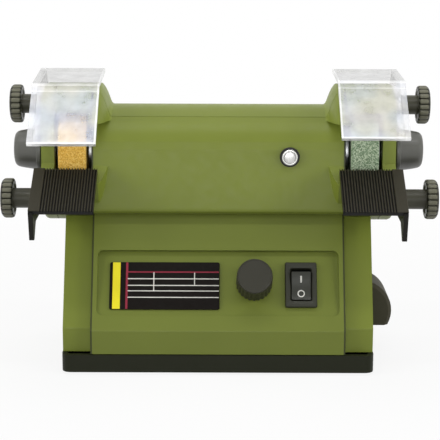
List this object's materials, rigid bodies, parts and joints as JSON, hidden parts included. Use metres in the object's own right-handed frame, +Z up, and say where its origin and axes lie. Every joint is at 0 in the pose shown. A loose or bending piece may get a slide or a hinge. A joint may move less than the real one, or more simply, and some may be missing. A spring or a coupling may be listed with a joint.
{
  "type": "double wheel bench grinder",
  "caption": "Small green bench grinder and polisher with a grinding wheel at each end of its spindle, clear eye shields, ribbed work rests, a speed dial and a rocker switch.",
  "frame": {"origin": "on the bench, under the middle of the machine's bounding box", "axes": "+Z up, +X along the spindle to the user's right, +Y away from the user"},
  "size_m": [0.2068, 0.0986, 0.1371],
  "materials": {
    "painted_green": "satin olive green paint",
    "black_metal": "satin black",
    "black_plastic": "satin black",
    "grey_plastic": "satin dark grey",
    "rubber": "matt",
    "steel": "turned",
    "iron_stack": "laminated",
    "copper": "varnished wire",
    "brass": "plain",
    "ochre_grit": "rough bonded grit",
    "green_grit": "rough bonded grit",
    "board": "satin",
    "clear": "clear, polished"
  },
  "bodies": {
    "housing": {"base_plate": "black_metal", "main_housing": "painted_green", "front_cover": "painted_green", "lead_entry_hood": "black_plastic", "motor_stator": "iron_stack", "upper_field_coil": "copper", "lower_field_coil": "copper", "front_brush_holder": "brass", "rear_brush_holder": "brass", "lock_bush": "black_plastic", "rating_plate": "black_plastic", "potentiometer": "steel", "control_board": "board", "switch_body": "black_plastic", "foot_front_left": "rubber", "foot_front_right": "rubber", "foot_rear_left": "rubber", "foot_rear_right": "rubber", "base_screw_front_left": "steel", "base_screw_front_right": "steel", "base_screw_rear_left": "steel", "base_screw_rear_right": "steel", "left_bearing": "steel", "left_wheel_guard": "painted_green", "left_guard_cover": "painted_green", "right_bearing": "steel", "right_wheel_guard": "painted_green", "right_guard_cover": "painted_green"},
    "spindle": {"spindle_shaft": "steel", "armature_core": "iron_stack", "commutator": "copper", "lock_collar": "steel", "cooling_fan": "grey_plastic", "left_grinding_wheel": "ochre_grit", "left_inner_flange": "steel", "left_outer_flange": "steel", "left_spindle_nut": "steel", "right_grinding_wheel": "green_grit", "right_inner_flange": "steel", "right_outer_flange": "steel", "right_spindle_nut": "steel"},
    "speed_knob": {"speed_knob": "grey_plastic"},
    "switch_rocker": {"switch_rocker": "grey_plastic"},
    "lock_button": {"lock_button": "steel"},
    "left_spindle_cap": {"left_spindle_cap": "grey_plastic"},
    "left_rest_guide": {"left_rest_guide": "steel"},
    "left_work_rest": {"left_work_rest": "black_metal"},
    "left_rest_knob": {"left_rest_knob": "grey_plastic"},
    "left_shield_guide": {"left_shield_guide": "steel"},
    "left_eye_shield": {"left_eye_shield": "clear"},
    "left_shield_knob": {"left_shield_knob": "grey_plastic"},
    "right_spindle_cap": {"right_spindle_cap": "grey_plastic"},
    "right_rest_guide": {"right_rest_guide": "steel"},
    "right_work_rest": {"right_work_rest": "black_metal"},
    "right_rest_knob": {"right_rest_knob": "grey_plastic"},
    "right_shield_guide": {"right_shield_guide": "steel"},
    "right_eye_shield": {"right_eye_shield": "clear"},
    "right_shield_knob": {"right_shield_knob": "grey_plastic"}
  },
  "joints": [
    {"name": "spindle_spin", "type": "hinge", "parent": "housing", "child": "spindle", "pos_m": [0, 0.00384, 0.1002], "axis": [1, 0, 0], "continuous": true},
    {"name": "speed_knob_turn", "type": "hinge", "parent": "housing", "child": "speed_knob", "pos_m": [0.017, -0.03478, 0.04463], "axis": [0, 0.8727, -0.4883], "range_deg": [0, 270]},
    {"name": "rocker_tip", "type": "hinge", "parent": "housing", "child": "switch_rocker", "pos_m": [0.03905, -0.02731, 0.03954], "axis": [-1, 0, 0], "range_deg": [0, 18]},
    {"name": "lock_button_press", "type": "slide", "parent": "housing", "child": "lock_button", "axis": [0, 1, 0], "range_m": [0, 0.0035], "stiffness_N_per_m": 250, "springref_m": -0.002},
    {"name": "left_cap_pull", "type": "slide", "parent": "housing", "child": "left_spindle_cap", "axis": [-1, 0, 0], "range_m": [0, 0.016]},
    {"name": "left_rest_swivel", "type": "hinge", "parent": "housing", "child": "left_rest_guide", "pos_m": [-0.088, -0.01516, 0.0795], "axis": [1, 0, 0], "range_deg": [-3, 10]},
    {"name": "left_rest_slide", "type": "slide", "parent": "left_rest_guide", "child": "left_work_rest", "axis": [0, -0.8572, -0.515], "range_m": [-0.0015, 0.008]},
    {"name": "left_rest_knob_turn", "type": "hinge", "parent": "housing", "child": "left_rest_knob", "pos_m": [-0.1, -0.01516, 0.0795], "axis": [-1, 0, 0], "range_deg": [0, 360]},
    {"name": "left_shield_tilt", "type": "hinge", "parent": "housing", "child": "left_shield_guide", "pos_m": [-0.089, 0.02284, 0.1197], "axis": [-1, 0, 0], "range_deg": [0, 40]},
    {"name": "left_shield_slide", "type": "slide", "parent": "left_shield_guide", "child": "left_eye_shield", "axis": [0, -1, 0], "range_m": [0, 0.006]},
    {"name": "left_shield_knob_turn", "type": "hinge", "parent": "housing", "child": "left_shield_knob", "pos_m": [-0.1, 0.02284, 0.1197], "axis": [-1, 0, 0], "range_deg": [0, 360]},
    {"name": "right_cap_pull", "type": "slide", "parent": "housing", "child": "right_spindle_cap", "axis": [1, 0, 0], "range_m": [0, 0.016]},
    {"name": "right_rest_swivel", "type": "hinge", "parent": "housing", "child": "right_rest_guide", "pos_m": [0.088, -0.01516, 0.0795], "axis": [1, 0, 0], "range_deg": [-3, 10]},
    {"name": "right_rest_slide", "type": "slide", "parent": "right_rest_guide", "child": "right_work_rest", "axis": [0, -0.8572, -0.515], "range_m": [-0.0015, 0.008]},
    {"name": "right_rest_knob_turn", "type": "hinge", "parent": "housing", "child": "right_rest_knob", "pos_m": [0.1, -0.01516, 0.0795], "axis": [1, 0, 0], "range_deg": [0, 360]},
    {"name": "right_shield_tilt", "type": "hinge", "parent": "housing", "child": "right_shield_guide", "pos_m": [0.089, 0.02284, 0.1197], "axis": [-1, 0, 0], "range_deg": [-3, 37]},
    {"name": "right_shield_slide", "type": "slide", "parent": "right_shield_guide", "child": "right_eye_shield", "axis": [0, -0.9986, 0.0523], "range_m": [0, 0.006]},
    {"name": "right_shield_knob_turn", "type": "hinge", "parent": "housing", "child": "right_shield_knob", "pos_m": [0.1, 0.02284, 0.1197], "axis": [1, 0, 0], "range_deg": [0, 360]}
  ]
}
